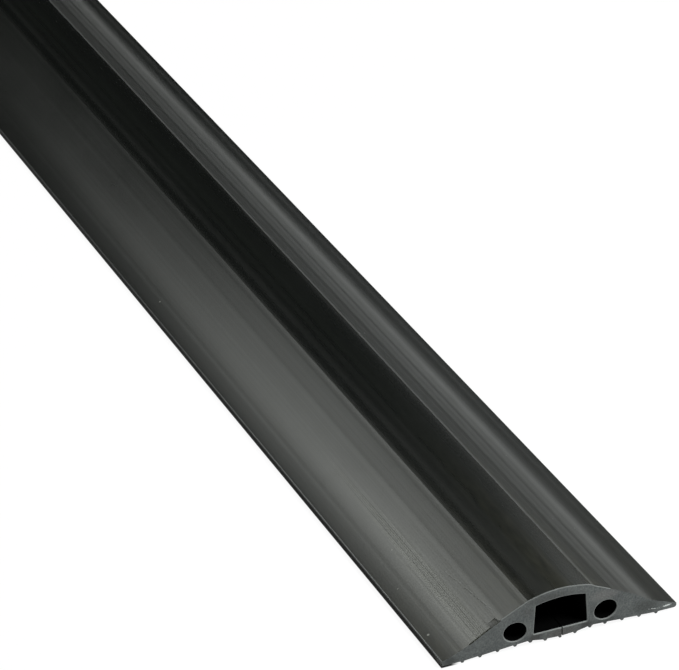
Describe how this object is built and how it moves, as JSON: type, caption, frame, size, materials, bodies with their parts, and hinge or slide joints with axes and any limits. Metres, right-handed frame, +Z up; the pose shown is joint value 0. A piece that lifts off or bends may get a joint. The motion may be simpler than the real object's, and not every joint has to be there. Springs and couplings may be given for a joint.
{
  "type": "floor cable cover",
  "caption": "Low domed strip of black soft PVC that lies over cables on a floor: duct with a slit floor, link holes beside it, sloped flanks and a ribbed underside",
  "frame": {"origin": "centre of the bounding box's bottom face, on the floor that the cover lies on", "axes": "+X across the cover, +Y along its length away from the end that the picture shows, +Z up"},
  "size_m": [0.068, 1.8, 0.0154],
  "materials": {
    "black_soft_pvc": "satin"
  },
  "bodies": {
    "root": {"cable_cover": "black_soft_pvc"}
  },
  "joints": []
}
